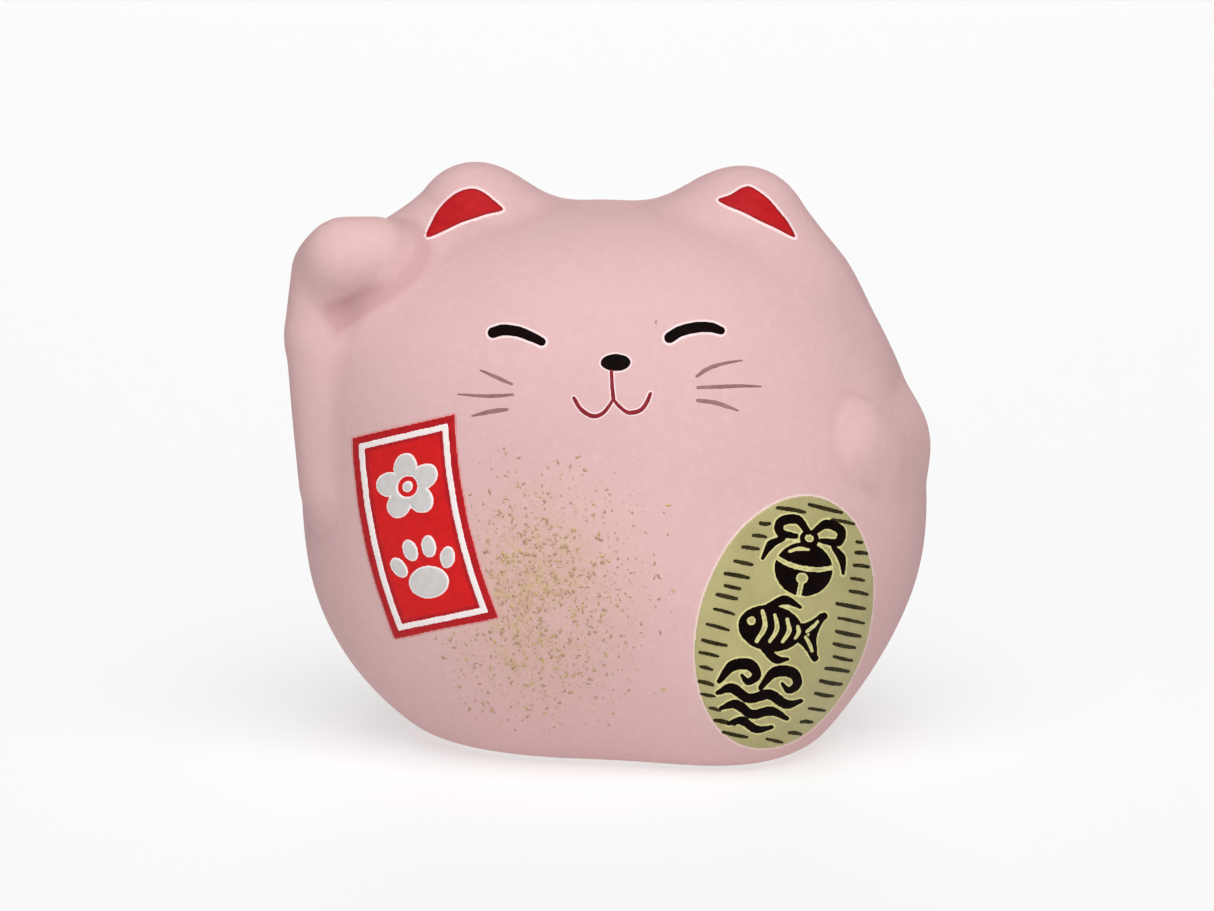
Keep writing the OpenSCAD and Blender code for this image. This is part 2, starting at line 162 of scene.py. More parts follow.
plug_low, plug_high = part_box("base_stopper")
HOLE_X = (plug_low.x + plug_high.x) / (2 * SCALE) - SHIFT[0]
HOLE_Y = (plug_low.y + plug_high.y) / (2 * SCALE) - SHIFT[1]
FLANGE_R = (plug_high.x - plug_low.x) / (2 * SCALE)
WALL = 3.0
BOTTOM = 5.5
HOLLOW_ROUND = 3.0
RECESS_R = FLANGE_R + 0.4
RECESS_H = 2.6
RECESS_ROUND = 0.9
HOLE_R = 5.0
HOLE_TOP = BOTTOM + 3
HOLE_ROUND = 0.6
NET_STEP = 0.6  # spacing of the body's mesh


def hollow_form(p):
    """The air inside the cat."""
    return -flow(-cat(p) - WALL, p[:, 2] - BOTTOM, HOLLOW_ROUND)


def pottery(p):
    """The wall of the cat, with the recess and the drain hole in its bottom."""
    r = np.hypot(p[:, 0] - HOLE_X, p[:, 1] - HOLE_Y)
    recess = np.maximum(r - RECESS_R, p[:, 2] - RECESS_H)
    hole = np.maximum(r - HOLE_R, p[:, 2] - HOLE_TOP)
    f = np.maximum(outer_form(p), -hollow_form(p))
    f = -flow(-f, recess, RECESS_ROUND)
    return -flow(-f, hole, HOLE_ROUND)


# The four cells that meet along an edge of the grid, in order round it
AROUND = ((1, 1), (0, 1), (0, 0), (1, 0))


def beside(i, axis, turn):
    """One of the cells round each of the edges i, which run along axis."""
    cell = list(i)
    cell[(axis + 1) % 3] = cell[(axis + 1) % 3] - turn[0]
    cell[(axis + 2) % 3] = cell[(axis + 2) % 3] - turn[1]
    return tuple(cell)


def net(f, low, high, step):
    """A closed mesh of four-sided faces on the surface f = 0, with outward faces."""
    axes = [np.arange(low[k], high[k] + step, step) for k in range(3)]
    grid = np.stack(np.meshgrid(*axes, indexing="ij"), -1)
    value = f(grid.reshape(-1, 3)).reshape(grid.shape[:3])
    inside = value < 0
    cells = tuple(n - 1 for n in inside.shape)
    total, count = np.zeros(cells + (3,)), np.zeros(cells, int)
    crossings = []
    for axis in range(3):
        near, far = [slice(None)] * 3, [slice(None)] * 3
        near[axis], far[axis] = slice(None, -1), slice(1, None)
        near, far = tuple(near), tuple(far)
        cross = inside[near] != inside[far]
        i = np.nonzero(cross)
        t = value[near][i] / (value[near][i] - value[far][i])
        spot = grid[near][i].copy()
        spot[:, axis] += t * step
        crossings.append((axis, i, inside[near][i]))
        for turn in AROUND:
            cell = beside(i, axis, turn)
            ok = np.all([(k >= 0) & (k < n) for k, n in zip(cell, cells)], axis=0)
            where = tuple(k[ok] for k in cell)
            np.add.at(total, where, spot[ok])
            np.add.at(count, where, 1)
    used = count > 0
    number = np.full(cells, -1)
    number[used] = np.arange(used.sum())
    points = total[used] / count[used][:, None]
    faces = []
    for axis, i, leaves in crossings:
        quads = np.stack([number[beside(i, axis, turn)] for turn in AROUND], 1)
        quads[~leaves] = quads[~leaves][:, ::-1]
        faces.append(quads)
    for _ in range(4):  # draw the points on to the surface, by half a step at most
        g = gradient(f, points)
        pull = f(points) / np.maximum((g * g).sum(1), 0.2)
        points -= np.clip(pull, -step / 2, step / 2)[:, None] * g
    return points, np.concatenate(faces)


# ---------------- materials

TOOTH = 0.22  # size of the finest roughness of the fired clay
# Range of a noise over which one colour gives way to another
PATCHY = (0.3, 0.7)


def set_up(node, **settings):
    """Settings of a node: a property of it, or the value of an input, with _ for a space."""
    for key, value in settings.items():
        if hasattr(node, key):
            setattr(node, key, value)
        else:
            node.inputs[key.replace("_", " ")].default_value = value
    return node


def add_node(tree, kind, **settings):
    return set_up(tree.nodes.new(kind), **settings)


def new_material(name, roughness, metallic=0.0, specular=0.5):
    m = bpy.data.materials.new(name)
    m.use_nodes = True
    shader = m.node_tree.nodes["Principled BSDF"]
    set_up(shader, Roughness=roughness, Metallic=metallic, Specular_IOR_Level=specular)
    return m, m.node_tree, shader


def millimetres(tree):
    """The object's own coordinates in millimetres."""
    spot = add_node(tree, "ShaderNodeTexCoord")
    scale = add_node(tree, "ShaderNodeVectorMath", operation="MULTIPLY")
    scale.inputs[1].default_value = (1 / MM, 1 / MM, 1 / MM)
    tree.links.new(spot.outputs["Object"], scale.inputs[0])
    return scale.outputs[0]


def noise(tree, coords, size, detail=2.0, rough=0.5):
    """Noise whose patches are about size millimetres across."""
    n = add_node(tree, "ShaderNodeTexNoise", Scale=1 / size, Detail=detail, Roughness=rough)
    tree.links.new(coords, n.inputs["Vector"])
    return n.outputs["Fac"]


def ramp(tree, value, low, high):
    """0 at low and below, 1 at high and above."""
    r = add_node(tree, "ShaderNodeMapRange", From_Min=low, From_Max=high)
    tree.links.new(value, r.inputs["Value"])
    return r.outputs["Result"]


def blend_colours(tree, fac, a, b):
    """a where fac is 0 and b where it is 1; each is a socket or three numbers."""
    m = add_node(tree, "ShaderNodeMix", data_type="RGBA")
    tree.links.new(fac, m.inputs[0])
    for socket, c in ((m.inputs[6], a), (m.inputs[7], b)):
        if isinstance(c, (tuple, list)):
            socket.default_value = (*c, 1)
        else:
            tree.links.new(c, socket)
    return m.outputs[2]


def bump(tree, shader, height, depth_mm, strength, before=None):
    """A fine relief on the shader, on top of the relief before."""
    b = add_node(tree, "ShaderNodeBump", Strength=strength, Distance=depth_mm * MM)
    tree.links.new(height, b.inputs["Height"])
    if before is not None:
        tree.links.new(before.outputs[0], b.inputs["Normal"])
    tree.links.new(b.outputs[0], shader.inputs["Normal"])
    return b


def named_value(tree, name):
    """A value that the mesh carries at its points."""
    return add_node(tree, "ShaderNodeAttribute", attribute_name=name).outputs["Fac"]


def pottery_material():
    """Matt pink slip over pale clay: faint clouds, a fine tooth, and painted shade as a deeper
    pink in the creases.

    Very fine gold powder lies between the flakes, in specks that run together.
    """
    m, tree, shader = new_material("matt_pink_pottery", 0.85, specular=0.2)
    mm = millimetres(tree)
    clouds = noise(tree, mm, 16, 3)
    grain = noise(tree, mm, 0.9, 3, 0.6)
    tooth = noise(tree, mm, TOOTH, 2, 0.6)
    pink = blend_colours(tree, ramp(tree, clouds, *PATCHY), PINK_COOL, PINK_WARM)
    pink = blend_colours(tree, ramp(tree, grain, 0.45, 0.95), pink, PINK_PALE)
    specks = noise(tree, mm, 0.6, 3, 0.7)
    clumps = noise(tree, mm, 1.7, 2, 0.6)
    powder = add_node(tree, "ShaderNodeMath", operation="MULTIPLY")
    tree.links.new(named_value(tree, "powder"), powder.inputs[0])
    tree.links.new(ramp(tree, specks, 0.25, 0.65), powder.inputs[1])
    tan = blend_colours(tree, ramp(tree, clumps, 0.48, 0.66), POWDER_TAN, POWDER_GOLD)
    pink = blend_colours(tree, powder.outputs[0], pink, tan)
    # Painted shade: a deeper pink where the form is hollow, in its creases
    crease_shade = named_value(tree, "crease_shade")
    pink = blend_colours(tree, crease_shade, pink, PINK_CREASE_SHADE)
    bare = named_value(tree, "bare")
    clay = blend_colours(tree, ramp(tree, grain, *PATCHY), CLAY_LIGHT, CLAY_DARK)
    tree.links.new(blend_colours(tree, bare, pink, clay), shader.inputs["Base Color"])
    soft = bump(tree, shader, noise(tree, mm, 3.5, 2), 0.10, 0.5)
    fine = bump(tree, shader, grain, 0.035, 0.5, soft)
    bump(tree, shader, tooth, 0.018, 0.6, fine)
    return m


def paint_material(name, thin, thick, specular, roughness=0.6):
    """Brush paint: it lies thicker and thinner in patches, over the tooth of the pottery."""
    m, tree, shader = new_material(name, roughness, specular=specular)
    mm = millimetres(tree)
    patches = noise(tree, mm, 1.1, 3, 0.6)
    tooth = noise(tree, mm, TOOTH, 2, 0.6)
    colour = blend_colours(tree, ramp(tree, patches, *PATCHY), thin, thick)
    tree.links.new(colour, shader.inputs["Base Color"])
    film = bump(tree, shader, patches, 0.03, 0.5)
    bump(tree, shader, tooth, 0.012, 0.5, film)
    return m


def gold_material():
    """Matt olive gold: a pigment paint with a fine metallic grain."""
    m, tree, shader = new_material("matt_olive_gold", 0.55, metallic=0.12, specular=0.3)
    mm = millimetres(tree)
    grain = noise(tree, mm, 0.16, 2, 0.7)
    clouds = noise(tree, mm, 4, 3)
    gold = blend_colours(tree, ramp(tree, clouds, *PATCHY), GOLD_DARK, GOLD_LIGHT)
    gold = blend_colours(tree, ramp(tree, grain, 0.55, 0.8), gold, GOLD_SPARK)
    tree.links.new(gold, shader.inputs["Base Color"])
    bump(tree, shader, grain, 0.012, 0.6)
    return m


def flake_material():
    """Gold flakes, each with its own tone from brown to yellow gold."""
    m, tree, shader = new_material("gold_flakes", 0.5, metallic=0.2, specular=0.4)
    tone = named_value(tree, "tone")
    first = blend_colours(tree, ramp(tree, tone, 0, 0.6), FLAKE_DARK, FLAKE_MID)
    gold = blend_colours(tree, ramp(tree, tone, 0.6, 1), first, FLAKE_LIGHT)
    tree.links.new(gold, shader.inputs["Base Color"])
    bump(tree, shader, noise(tree, millimetres(tree), 0.15, 2), 0.01, 0.5)
    return m


def stopper_material():
    """Soft milky plastic with a moulded satin face."""
    m, tree, shader = new_material("milky_soft_plastic", 0.38)
    mm = millimetres(tree)
    clouds = noise(tree, mm, 5)
    milk = blend_colours(tree, ramp(tree, clouds, *PATCHY), MILK_DARK, MILK_LIGHT)
    tree.links.new(milk, shader.inputs["Base Color"])
    set_up(shader, Subsurface_Weight=0.25, Subsurface_Scale=2 * MM)
    bump(tree, shader, noise(tree, mm, 0.3, 2), 0.01, 0.4)
    return m


PINK_COOL = (0.635, 0.402, 0.409)
PINK_WARM = (0.663, 0.424, 0.420)
PINK_PALE = (0.690, 0.463, 0.463)
# Painted shade: the deeper pink of the creases
PINK_CREASE_SHADE = (0.515, 0.290, 0.295)
POWDER_TAN = (0.555, 0.350, 0.238)
POWDER_GOLD = (0.535, 0.385, 0.165)
CLAY_LIGHT = (0.78, 0.72, 0.66)
CLAY_DARK = (0.68, 0.61, 0.54)
GOLD_DARK = (0.365, 0.325, 0.145)
GOLD_LIGHT = (0.435, 0.390, 0.175)
GOLD_SPARK = (0.55, 0.50, 0.26)
FLAKE_DARK = (0.40, 0.255, 0.16)
FLAKE_MID = (0.51, 0.335, 0.20)
FLAKE_LIGHT = (0.54, 0.42, 0.15)
MILK_DARK = (0.62, 0.60, 0.55)
MILK_LIGHT = (0.70, 0.68, 0.63)

pottery_pink = pottery_material()
ear_red = paint_material("matt_red_paint", (0.48, 0.010, 0.013), (0.38, 0.006, 0.010), 0.12)
ear_dark = paint_material("dark_red_paint", (0.36, 0.010, 0.016), (0.27, 0.006, 0.010), 0.12)
label_red = paint_material("bright_label_red", (0.64, 0.010, 0.011), (0.55, 0.007, 0.009), 0.15)
label_dark = paint_material("dark_label_red", (0.46, 0.008, 0.013), (0.37, 0.006, 0.010), 0.15)
ink = paint_material("black_brush_paint", (0.007, 0.002, 0.002), (0.002, 0.001, 0.001), 0.03)
lip_red = paint_material("dark_red_line", (0.28, 0.022, 0.034), (0.18, 0.010, 0.018), 0.12)
whisker_brown = paint_material(
    "brown_hair_line", (0.33, 0.185, 0.175), (0.22, 0.115, 0.110), 0.1, 0.7
)
white_paint = paint_material("matt_white_paint", (0.80, 0.72, 0.71), (0.88, 0.80, 0.79), 0.2)
# Painted shade: a grey copy of the white paint, for the middles of the white emblems
white_in_painted_shade = paint_material("white_paint_painted_shade", (0.54, 0.52, 0.51), (0.62, 0.60, 0.59), 0.2)
pale_rim = paint_material("pale_base_coat", (0.80, 0.60, 0.605), (0.86, 0.68, 0.68), 0.1, 0.8)
soft_rim = paint_material("soft_base_coat", (0.70, 0.52, 0.47), (0.76, 0.58, 0.52), 0.1, 0.8)
red_rim = paint_material("thin_red_wash", (0.62, 0.25, 0.24), (0.67, 0.33, 0.32), 0.1, 0.8)
olive_gold = gold_material()
gold_rim = paint_material("pale_gold_coat", (0.58, 0.54, 0.22), (0.66, 0.62, 0.29), 0.2)
dash_ink = paint_material("thin_black_dash", (0.045, 0.036, 0.012), (0.014, 0.011, 0.004), 0.05)
flake_gold = flake_material()
milky = stopper_material()

# ---------------- films on the surface

# Marks are set out on an upright plane that leans back a little, and go straight from it on
# to the front of the cat. u is to the right and v is up, in millimetres.
LEAN = math.radians(8)
UPWARD = np.array((0, math.sin(LEAN), math.cos(LEAN)))
OUTWARD = np.array((0, -math.cos(LEAN), math.sin(LEAN)))
# Lengths along OUTWARD from the plane that end inside the cat and in front of it
INSIDE, IN_FRONT = 10, 45


def landing(uv):
    """Points of the surface over points of the plane, and the way out of the surface there."""
    foot = np.outer(uv[:, 0], (1, 0, 0)) + np.outer(uv[:, 1], UPWARD)
    p = leave(outer_form, foot + INSIDE * OUTWARD, foot + IN_FRONT * OUTWARD)
    g = gradient(outer_form, p)
    return p, g / np.linalg.norm(g, axis=1)[:, None]


def smooth(points, steps=8, closed=False):
    """A smooth curve through the given points."""
    p = np.array(points, float)
    if closed:
        p = np.concatenate([p[-1:], p, p[:2]])
    else:
        p = np.concatenate([2 * p[:1] - p[1:2], p, 2 * p[-1:] - p[-2:-1]])
    t = (np.arange(steps) / steps)[:, None]
    out = []
    for a, b, c, d in zip(p, p[1:], p[2:], p[3:]):
        square, cube = 2 * a - 5 * b + 4 * c - d, 3 * b - a - 3 * c + d
        out.append(0.5 * (2 * b + (c - a) * t + square * t**2 + cube * t**3))
    if not closed:
        out.append(p[-2:-1])
    return np.concatenate(out)


def stroke(q, path, widths):
    """How deep the points q lie inside a brush stroke along path, with widths along it."""
    line = smooth(path)
    share = np.linspace(0, 1, len(line))
    half = np.interp(share, np.linspace(0, 1, len(widths)), widths) / 2
    best = np.full(len(q), -1e9)
    for a, b, ra, rb in zip(line, line[1:], half, half[1:]):
        d = b - a
        t = np.clip((q - a) @ d / (d @ d), 0, 1)
        gap = np.linalg.norm(q - a - t[:, None] * d, axis=1)
        best = np.maximum(best, ra + (rb - ra) * t - gap)
    return best


def turned(q, degrees):
    """The points q in axes that are turned by so many degrees."""
    c, s = math.cos(math.radians(degrees)), math.sin(math.radians(degrees))
    return np.stack([q[:, 0] * c + q[:, 1] * s, q[:, 1] * c - q[:, 0] * s], 1)


def oval(q, centre, rx, ry, turn=0.0):
    """How deep the points q lie inside an oval turned by so many degrees."""
    d = turned(q - centre, turn)
    half = np.array((rx, ry))
    k = np.linalg.norm(d / half, axis=1)
    g = np.linalg.norm(d / half**2, axis=1)
    return k * (1 - k) / np.maximum(g, 1e-4)


def polygon(q, points):
    """How deep the points q lie inside a closed outline, anticlockwise."""
    p = np.array(points, float)
    best = np.full(len(q), 1e9)
    inside = np.zeros(len(q), bool)
    for a, b in zip(p, np.roll(p, -1, axis=0)):
        d = b - a
        t = np.clip((q - a) @ d / (d @ d), 0, 1)
        best = np.minimum(best, np.linalg.norm(q - a - t[:, None] * d, axis=1))
        rises = (a[1] > q[:, 1]) != (b[1] > q[:, 1])
        if a[1] != b[1]:
            x = a[0] + (q[:, 1] - a[1]) * (b[0] - a[0]) / (b[1] - a[1])
            inside ^= rises & (q[:, 0] < x)
    return np.where(inside, best, -best)


def block(q, hx, hy, corner):
    """How deep the points q lie inside a block with rounded corners."""
    d = np.abs(q) - np.array((hx - corner, hy - corner))
    out = np.linalg.norm(np.maximum(d, 0), axis=1)
    return corner - out - np.minimum(d.max(1), 0)


def wobble(q, length, amount, seed):
    """A small unevenness of an edge, of the stated wavelength in millimetres."""
    rng = np.random.default_rng(seed)
    total = np.zeros(len(q))
    for _ in range(6):
        a, phase = rng.uniform(0, 2 * math.pi, 2)
        k = 2 * math.pi / (length * rng.uniform(0.6, 1.6))
        total += np.sin((q[:, 0] * math.cos(a) + q[:, 1] * math.sin(a)) * k + phase)
    return amount * total / 3


def region(values, us, vs):
    """The part of a grid where values are above 0: points, their values, anticlockwise faces."""
    inside = values > 0
    number = np.full(values.shape, -1)
    number[inside] = np.arange(inside.sum())
    i, j = np.nonzero(inside)
    points = list(zip(us[i], vs[j]))
    depth = list(values[inside])
    cuts = {}

    def cut(a, b):
        key = (a, b) if a < b else (b, a)
        if key not in cuts:
            (i0, j0), (i1, j1) = key
            t = values[i0, j0] / (values[i0, j0] - values[i1, j1])
            cuts[key] = len(points)
            points.append((us[i0] + t * (us[i1] - us[i0]), vs[j0] + t * (vs[j1] - vs[j0])))
            depth.append(0.0)
        return cuts[key]

    corners = [inside[:-1, :-1], inside[1:, :-1], inside[1:, 1:], inside[:-1, 1:]]
    whole = np.logical_and.reduce(corners)
    some = np.logical_or.reduce(corners) & ~whole
    i, j = np.nonzero(whole)
    faces = np.stack(
        [number[i, j], number[i + 1, j], number[i + 1, j + 1], number[i, j + 1]], 1
    ).tolist()
    for i, j in zip(*(k.tolist() for k in np.nonzero(some))):
        ring = ((i, j), (i + 1, j), (i + 1, j + 1), (i, j + 1))
        face = []
        for a, b in zip(ring, ring[1:] + ring[:1]):
            if inside[a]:
                face.append(int(number[a]))
            if inside[a] != inside[b]:
                face.append(cut(a, b))
        faces.append(face)
    return np.array(points), np.array(depth), faces, int(inside.sum())


SUNK = 0.02  # how far a film's edge lies under the surface


def film(field, low, high, cell, base, thickness, edge=0.12):
    """A thin closed film over the points where field is above 0.

    It rises from just under the surface at its edge to base + thickness above it.
    """
    us = np.arange(low[0], high[0] + cell, cell)
    vs = np.arange(low[1], high[1] + cell, cell)
    uu, vv = np.meshgrid(us, vs, indexing="ij")
    values = field(np.stack([uu.ravel(), vv.ravel()], 1)).reshape(uu.shape)
    tiny = 0.06 * cell  # no point of the grid lies so close to the edge that a face is a sliver
    values = np.where(np.abs(values) < tiny, np.where(values > 0, tiny, -tiny), values)
    points, depth, faces, n_inside = region(values, us, vs)
    spot, out = landing(points)
    t = np.clip(depth / edge, 0, 1)
    rise = np.sqrt(1 - (1 - t) ** 2)
    height = base * np.minimum(1, 3 * t) - SUNK + (thickness + SUNK) * rise
    top = spot + out * height[:, None]
    under = spot[:n_inside] - out[:n_inside] * 3 * SUNK
    n = len(points)
    below = [[k if k >= n_inside else n + k for k in reversed(face)] for face in faces]
    return np.concatenate([top, under]), faces + below


def new_mesh(name, points, faces, materials):
    """A smooth-shaded mesh of the drawing, in the shared frame."""
    mesh = bpy.data.meshes.new(name)
    mesh.from_pydata(place(points).tolist(), [], faces)
    for material in materials:
        mesh.materials.append(material)
    mesh.polygons.foreach_set("use_smooth", [True] * len(mesh.polygons))
    mesh.update()
    return mesh


def new_object(name, data):
    ob = bpy.data.objects.new(name, data)
    bpy.context.scene.collection.objects.link(ob)
    return ob


def piece(name, layers, node, body="figurine"):
    """One piece in place of a CAD node, from layers that are each a form and its material."""
    points, faces, slots, materials = [], [], [], []
    start = 0
    for (p, f), material in layers:
        if material not in materials:
            materials.append(material)
        points.append(p)
        faces += [[k + start for k in face] for face in f]
        slots += [materials.index(material)] * len(f)
        start += len(p)
    mesh = new_mesh(name, np.concatenate(points), faces, materials)
    mesh.polygons.foreach_set("material_index", slots)
    ob = new_object(name, mesh)
    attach(ob, body)
    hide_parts(node)
    return ob


# How high above the pottery each coat starts, and its thickness
RIM_COAT = (0.0, 0.02)
FIRST_COAT = (0.015, 0.045)
SECOND_COAT = (0.06, 0.04)
THIRD_COAT = (0.10, 0.03)


def mark(field, low, high, cell, coat, material, edge=0.12):
    """One layer of paint where field is above 0."""
    return film(field, low, high, cell, *coat, edge), material


def with_rim(field, low, high, cell, width, material, edge=0.12, rim=None):
    """A first coat and, showing round it, the pale coat that it was painted on."""
    low, high = np.array(low) - width - 0.2, np.array(high) + width + 0.2
    return [
        mark(lambda q: field(q) + width, low, high, cell * 1.3, RIM_COAT, rim or pale_rim, 0.3),
        mark(field, low, high, cell, FIRST_COAT, material, edge),
    ]


# ---------------- where the gold dust lies

# Two clouds of flakes: centre, spread and share of the flakes
DUST = (
    (np.array((-7.6, 15.3)), np.array((4.9, 6.3)), 0.75),
    (np.array((-6.1, 16.4)), np.array((7.3, 8.6)), 0.25),
)
DUST_LOW, DUST_HIGH = np.array((-18.6, 1.4)), np.array((6.8, 31.0))
# A spot in the middle of the patch that the gold nearly missed, and the share of the powder
# and of the flakes that is missing there
CLEAN_SPOT, CLEAN_SPREAD = np.array((-5.3, 13.2)), np.array((2.1, 1.5))
POWDER_MISSING, FLAKES_MISSING = 0.7, 0.75


def missed(q):
    """1 where the gold nearly missed the surface, falling off to 0 around it."""
    return np.exp(-0.5 * (((q - CLEAN_SPOT) / CLEAN_SPREAD) ** 2).sum(-1))


def dust_share(q):
    """How thickly the dust lies at the points q, 1 in the middle of the patch."""
    total = np.zeros(len(q))
    for middle, spread, share in DUST:
        density = share / np.prod(spread)
        total += density * np.exp(-0.5 * (((q - middle) / spread) ** 2).sum(1))
    peak = sum(share / np.prod(spread) for _, spread, share in DUST)
    return total / peak * (1 - POWDER_MISSING * missed(q))


# ---------------- the pottery body

# Painted shade: the pink is deeper where the form is hollow, as shade in a crease. Over how many
# millimetres its bend is taken, how strongly that tells, how sharply it falls off and the most
# that it gets
CREASE_SPAN, CREASE_GAIN, CREASE_FALL, CREASE_MOST = 1.6, 4.5, 1.2, 0.75
NET_MARGIN = 1.81  # room round the form; it keeps the layers of the net off the flat faces

points, quads = net(pottery, drawn_low - NET_MARGIN, drawn_high + NET_MARGIN, NET_STEP)
mesh = new_mesh("pottery_body", points, quads.tolist(), [pottery_pink])
# Painted shade: how hollow the form is at each point sets how much deeper the pink is there
bend = -6 * outer_form(points)
for step in np.eye(3) * CREASE_SPAN:
    bend += outer_form(points + step) + outer_form(points - step)
hollowness = np.clip(-bend / CREASE_SPAN**2 * CREASE_GAIN, 0, 1)
crease_shade = hollowness**CREASE_FALL * CREASE_MOST
# The slip ends just above the foot and just inside the recess; beyond it the clay is bare.
inner = np.clip((-outer_form(points) - 0.4) / 0.5, 0, 1)
foot = np.clip((0.55 - points[:, 2]) / 0.35, 0, 1)
on_plane = np.stack([points[:, 0], points @ UPWARD], 1)
powder = dust_share(on_plane) * (points[:, 1] < 0)
for label, values in (
    ("crease_shade", crease_shade), ("bare", np.maximum(inner, foot)), ("powder", powder),
):
    attribute = mesh.attributes.new(label, "FLOAT", "POINT")
    attribute.data.foreach_set("value", values.astype(np.float32))
way_out = gradient(pottery, points)
way_out /= np.linalg.norm(way_out, axis=1)[:, None]
mesh.normals_split_custom_set_from_vertices(way_out.tolist())
pottery_body = new_object("pottery_body", mesh)
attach(pottery_body, "figurine")
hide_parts("ceramic_body")

# ---------------- ears and face

RIGHT_EAR = (
    (-19.1, 52.9), (-15.9, 54.3), (-13.2, 55.3), (-11.1, 55.9), (-12.4, 57.2),
    (-13.9, 58.2), (-15.1, 58.2), (-16.4, 57.6), (-17.8, 56.3), (-18.6, 54.9),
)
LEFT_EAR = (
    (19.5, 53.0), (18.9, 54.5), (18.1, 55.6), (16.7, 57.2), (15.1, 58.4),
    (14.1, 58.4), (12.7, 57.6), (11.4, 56.9), (14.2, 55.5), (17.3, 54.0),
)
for side, outline in (("right", RIGHT_EAR), ("left", LEFT_EAR)):
    line = smooth(outline, 5, closed=True)
    low, high = line.min(0), line.max(0)

    def ear(q):
        return polygon(q, line) + wobble(q, 2.5, 0.03, 3)

    piece(
        side + "_ear_red",
        [
            *with_rim(ear, low, high, 0.1, 0.3, ear_dark),
            mark(lambda q: ear(q) - 0.16, low, high, 0.1, (0.05, 0.015), ear_red),
        ],
        side + "_ear_paint",
    )

EYES = {
    "right": ((-11.92, 42.73), (-10.89, 42.99), (-9.55, 42.86), (-8.22, 42.4), (-6.93, 41.77)),
    "left": ((6.15, 42.19), (7.42, 42.92), (9.27, 43.3), (10.51, 43.25), (11.39, 42.96)),
}
EYE_WIDTHS = (1.18, 1.20, 1.16, 1.08, 0.92)
for side, path in EYES.items():
    p = np.array(path)
    piece(
        side + "_closed_eye",
        with_rim(
            lambda q: stroke(q, path, EYE_WIDTHS) + wobble(q, 1.2, 0.015, 5),
            p.min(0) - 0.7, p.max(0) + 0.7, 0.07, 0.26, ink,
        ),
        side + "_eye",
    )

NOSE, NOSE_HALF = (0.63, 39.63), (1.55, 0.9)
piece(
    "nose_dot",
    with_rim(
        lambda q: oval(q, NOSE, *NOSE_HALF) + wobble(q, 1.4, 0.015, 8),
        (-1.1, 38.5), (2.4, 40.7), 0.07, 0.19, ink,
    ),
    "nose",
)

# Strokes are each the path of the brush and its widths along it
CURL_WIDTHS = (0.34, 0.42, 0.50, 0.48, 0.42)
MOUTH_STROKES = (
    (((0.2, 38.8), (0.26, 37.33), (0.4, 35.9)), (0.40, 0.42, 0.46)),
    (
        ((0.4, 35.9), (-0.05, 35.19), (-0.66, 34.47), (-1.43, 34.15), (-2.18, 34.33),
         (-3.0, 34.98), (-3.61, 36.0)),
        CURL_WIDTHS,
    ),
    (
        ((0.4, 35.9), (0.87, 35.29), (1.69, 34.62), (2.4, 34.53), (3.21, 34.82),
         (3.82, 35.59), (4.17, 36.45)),
        CURL_WIDTHS,
    ),
)


def strokes(q, items):
    """How deep the points q lie inside the deepest of several strokes."""
    return np.max([stroke(q, path, widths) for path, widths in items], axis=0)


piece(
    "mouth_brush_line",
    with_rim(
        lambda q: strokes(q, MOUTH_STROKES) + wobble(q, 0.9, 0.012, 9),
        (-4.1, 33.7), (4.7, 39.2), 0.06, 0.16, lip_red, 0.1,
    ),
    "mouth_line",
)

WHISKERS = {
    "right": (
        (((-9.98, 37.44), (-11.59, 38.16), (-13.24, 38.89)), (0.30, 0.44, 0.36, 0.2)),
        (((-9.84, 36.36), (-12.41, 36.23), (-15.5, 36.42)), (0.28, 0.42, 0.36, 0.2)),
        (((-10.46, 34.85), (-12.2, 34.63), (-14.06, 34.19)), (0.34, 0.52, 0.44, 0.22)),
    ),
    "left": (
        (((8.94, 38.26), (10.07, 39.02), (11.72, 39.57), (13.58, 39.89)),
         (0.38, 0.46, 0.38, 0.2)),
        (((9.04, 37.09), (11.29, 37.18), (13.36, 37.26), (15.53, 37.23)),
         (0.36, 0.44, 0.40, 0.2)),
        (((9.03, 35.77), (10.67, 35.57), (11.91, 35.2), (13.14, 34.74)),
         (0.40, 0.50, 0.44, 0.22)),
    ),
}
for side, lines in WHISKERS.items():
    p = np.concatenate([np.array(path) for path, _ in lines])
    piece(
        side + "_whisker_lines",
        [
            mark(
                lambda q: strokes(q, lines) + wobble(q, 0.7, 0.012, 12),
                p.min(0) - 0.4, p.max(0) + 0.4, 0.05, (0.0, 0.03), whisker_brown, 0.08,
            )
        ],
        side + "_whiskers",
    )

# ---------------- the red label

LABEL_CENTRE = np.array((-19.1, 22.72))
LABEL_ACROSS = np.array((0.976, 0.217))
LABEL_UP = np.array((-0.206, 0.978))
LABEL_AXES = np.linalg.inv(np.stack([LABEL_ACROSS, LABEL_UP], 1))
LABEL_HALF = (5.62, 10.7)
LABEL_BOW = 0.95  # how far its middle bends to the cat's right
LABEL_MARGIN = 0.72  # red outside the white line
LABEL_LINE = 0.72
LABEL_BOX = ((-27.5, 10.4), (-10.6, 34.9))
BLOSSOM_AT, BLOSSOM_R = (0.0, 4.5), 3.5
PAW_AT = (0.0, -4.5)


def on_label(q):
    """Distances across and up the label, from its centre."""
    p = (q - LABEL_CENTRE) @ LABEL_AXES.T
    bow = LABEL_BOW * (1 - (p[:, 1] / LABEL_HALF[1]) ** 2)
    return np.stack([p[:, 0] + bow, p[:, 1]], 1)


def label_inset(q, inset, corner):
    """How deep the points q lie inside the label less an even margin."""
    return block(on_label(q), LABEL_HALF[0] - inset, LABEL_HALF[1] - inset, corner)


